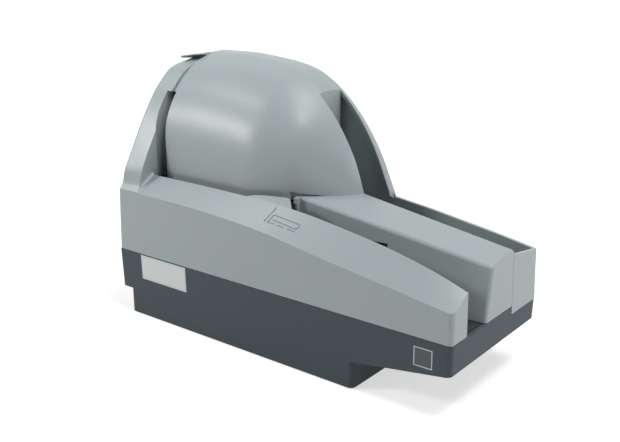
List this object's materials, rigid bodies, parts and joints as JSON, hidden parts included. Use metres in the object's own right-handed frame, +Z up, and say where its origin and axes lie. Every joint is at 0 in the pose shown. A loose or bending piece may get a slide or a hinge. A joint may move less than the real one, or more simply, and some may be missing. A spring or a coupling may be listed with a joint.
{
  "type": "cheque scanner",
  "caption": "Desktop cheque scanner: open hopper, upright track round a domed island, rollers, image sensors, exit pocket and lift-off covers on a dark base.",
  "frame": {"origin": "middle of the footprint, on the surface that the machine stands on", "axes": "+X along the track to the open end of the hopper, +Y from the front wall to the back wall, +Z up"},
  "size_m": [0.27, 0.107, 0.1814],
  "materials": {
    "cover_grey": "fine spark-eroded texture, moulded light grey",
    "base_grey": "fine texture, moulded dark blue grey",
    "black_plastic": "moulded black",
    "rubber": "ground roller rubber",
    "roller_white": "acetal",
    "steel": "rolled sheet and ground shafts",
    "deck": "moulded black glass-filled plate",
    "motor": "black lacquer",
    "pulley": "turned",
    "board": "green solder mask",
    "chips": "moulded epoxy",
    "glass": "float glass",
    "label_white": "blank white film",
    "label_dark": "printed dark film with a white border"
  },
  "bodies": {
    "base": {"base_casing": "base_grey", "board_components": "chips", "bottom_plate": "steel", "cartridge_holder": "black_plastic", "deck_bushes": "steel", "deck_plate": "deck", "document_sensors": "black_plastic", "feed_belt": "rubber", "feed_bracket": "steel", "feed_motor": "motor", "feeder_plate": "black_plastic", "frame_plate": "steel", "frame_posts": "steel", "front_label": "label_white", "image_sensors": "black_plastic", "ink_cartridge": "black_plastic", "inner_track_guide": "steel", "machine_screws": "steel", "magnetizer": "pulley", "main_board": "board", "main_motor": "motor", "mark_label": "label_dark", "micr_head": "pulley", "outer_track_guide": "steel", "power_jack": "black_plastic", "pressure_leaves": "steel", "primary_belt": "rubber", "roller_pins": "steel", "rubber_feet": "rubber", "scan_bridge": "steel", "sensor_glasses": "glass", "transport_belt": "rubber", "usb_socket": "black_plastic"},
    "outer_cover_body": {"outer_cover": "cover_grey"},
    "centre_cover_body": {"centre_cover": "cover_grey"},
    "platen_roller": {"platen_shaft": "steel", "platen_tyre": "rubber"},
    "front_drive_roller": {"front_drive_shaft": "steel", "front_drive_tyres": "rubber"},
    "corner_drive_roller": {"corner_drive_shaft": "steel", "corner_drive_tyres": "rubber"},
    "rear_drive_roller": {"rear_drive_shaft": "steel", "rear_drive_tyres": "rubber"},
    "exit_drive_roller": {"exit_drive_shaft": "steel", "exit_drive_tyres": "rubber"},
    "motor_rotor": {"motor_pulley": "pulley"},
    "feed_rotor": {"feed_motor_pulley": "pulley"},
    "feed_roller": {"feed_shaft": "steel", "feed_tyres": "rubber"},
    "pick_roller": {"pick_shaft": "steel", "pick_tyres": "rubber"},
    "separator": {"separator_roller": "rubber"},
    "micr_roller": {"micr_pressure_roller": "rubber"},
    "idler": {"idler_roller": "roller_white"},
    "front_arm": {"front_pinch_arm": "black_plastic"},
    "front_pinch": {"front_pinch_roller": "roller_white"},
    "corner_arm": {"corner_pinch_arm": "black_plastic"},
    "corner_pinch": {"corner_pinch_roller": "roller_white"},
    "hopper_flag_body": {"hopper_flag": "black_plastic"},
    "exit_flag_body": {"exit_flag": "black_plastic"}
  },
  "joints": [
    {"name": "platen_spin", "type": "hinge", "parent": "base", "child": "platen_roller", "pos_m": [-0.1102, 0.0165, 0.05], "axis": [0, 0, 1], "continuous": true},
    {"name": "front_drive_spin", "type": "hinge", "parent": "base", "child": "front_drive_roller", "pos_m": [-0.043, -0.02575, 0.05], "axis": [0, 0, 1], "continuous": true},
    {"name": "corner_drive_spin", "type": "hinge", "parent": "base", "child": "corner_drive_roller", "pos_m": [-0.09, -0.02575, 0.05], "axis": [0, 0, 1], "continuous": true},
    {"name": "rear_drive_spin", "type": "hinge", "parent": "base", "child": "rear_drive_roller", "pos_m": [-0.083, 0.03903, 0.05], "axis": [0, 0, 1], "continuous": true},
    {"name": "exit_drive_spin", "type": "hinge", "parent": "base", "child": "exit_drive_roller", "pos_m": [-0.027, 0.03903, 0.05], "axis": [0, 0, 1], "continuous": true},
    {"name": "motor_spin", "type": "hinge", "parent": "base", "child": "motor_rotor", "pos_m": [-0.055, 0.0065, 0.05], "axis": [0, 0, 1], "continuous": true},
    {"name": "idler_spin", "type": "hinge", "parent": "base", "child": "idler", "pos_m": [-0.1178, -0.0015, 0.05], "axis": [0, 0, 1], "continuous": true},
    {"name": "micr_roller_spin", "type": "hinge", "parent": "base", "child": "micr_roller", "pos_m": [-0.069, -0.02925, 0.05], "axis": [0, 0, 1], "continuous": true},
    {"name": "feed_spin", "type": "hinge", "parent": "base", "child": "feed_roller", "pos_m": [-0.01619, -0.01808, 0.05], "axis": [0, 0, 1], "continuous": true},
    {"name": "pick_spin", "type": "hinge", "parent": "base", "child": "pick_roller", "pos_m": [0.033, -0.006, 0.05], "axis": [0, 0, 1], "continuous": true},
    {"name": "feed_motor_spin", "type": "hinge", "parent": "base", "child": "feed_rotor", "pos_m": [0.053, 0.0055, 0.05], "axis": [0, 0, 1], "continuous": true},
    {"name": "separator_spin", "type": "hinge", "parent": "base", "child": "separator", "pos_m": [-0.01049, -0.03119, 0.05], "axis": [0, 0, 1], "continuous": true},
    {"name": "front_arm_swing", "type": "hinge", "parent": "base", "child": "front_arm", "pos_m": [-0.023, -0.045, 0.05], "axis": [0, 0, 1], "range_deg": [0, 8], "stiffness_Nm_per_rad": 0.05, "springref_deg": -5.73},
    {"name": "front_pinch_spin", "type": "hinge", "parent": "front_arm", "child": "front_pinch", "pos_m": [-0.043, -0.03905, 0.05], "axis": [0, 0, 1], "continuous": true},
    {"name": "corner_arm_swing", "type": "hinge", "parent": "base", "child": "corner_arm", "pos_m": [-0.11, -0.045, 0.05], "axis": [0, 0, -1], "range_deg": [0, 8], "stiffness_Nm_per_rad": 0.05, "springref_deg": -5.73},
    {"name": "corner_pinch_spin", "type": "hinge", "parent": "corner_arm", "child": "corner_pinch", "pos_m": [-0.09, -0.03905, 0.05], "axis": [0, 0, 1], "continuous": true},
    {"name": "hopper_flag_swing", "type": "hinge", "parent": "base", "child": "hopper_flag_body", "pos_m": [0.071, -0.032, 0.05], "axis": [0, 0, 1], "range_deg": [0, 20], "stiffness_Nm_per_rad": 0.01, "springref_deg": -11.46},
    {"name": "exit_flag_swing", "type": "hinge", "parent": "base", "child": "exit_flag_body", "pos_m": [-0.005, 0.025, 0.05], "axis": [0, 0, -1], "range_deg": [0, 22], "stiffness_Nm_per_rad": 0.006, "springref_deg": -11.46},
    {"name": "outer_cover_lift", "type": "slide", "parent": "base", "child": "outer_cover_body", "axis": [0, 0, 1], "range_m": [0, 0.13]},
    {"name": "centre_cover_lift", "type": "slide", "parent": "base", "child": "centre_cover_body", "axis": [0, 0, 1], "range_m": [0, 0.13]}
  ],
  "couplings": [
    {"joint": "front_drive_spin", "follows": "platen_spin", "ratio": 1},
    {"joint": "corner_drive_spin", "follows": "platen_spin", "ratio": 1},
    {"joint": "rear_drive_spin", "follows": "platen_spin", "ratio": 1},
    {"joint": "exit_drive_spin", "follows": "platen_spin", "ratio": 1},
    {"joint": "motor_spin", "follows": "platen_spin", "ratio": 2},
    {"joint": "idler_spin", "follows": "platen_spin", "ratio": -1.875},
    {"joint": "micr_roller_spin", "follows": "platen_spin", "ratio": 1.875},
    {"joint": "front_pinch_spin", "follows": "platen_spin", "ratio": -1.3636},
    {"joint": "corner_pinch_spin", "follows": "platen_spin", "ratio": -1.3636},
    {"joint": "pick_spin", "follows": "feed_spin", "ratio": 1},
    {"joint": "feed_motor_spin", "follows": "feed_spin", "ratio": 1.1}
  ]
}
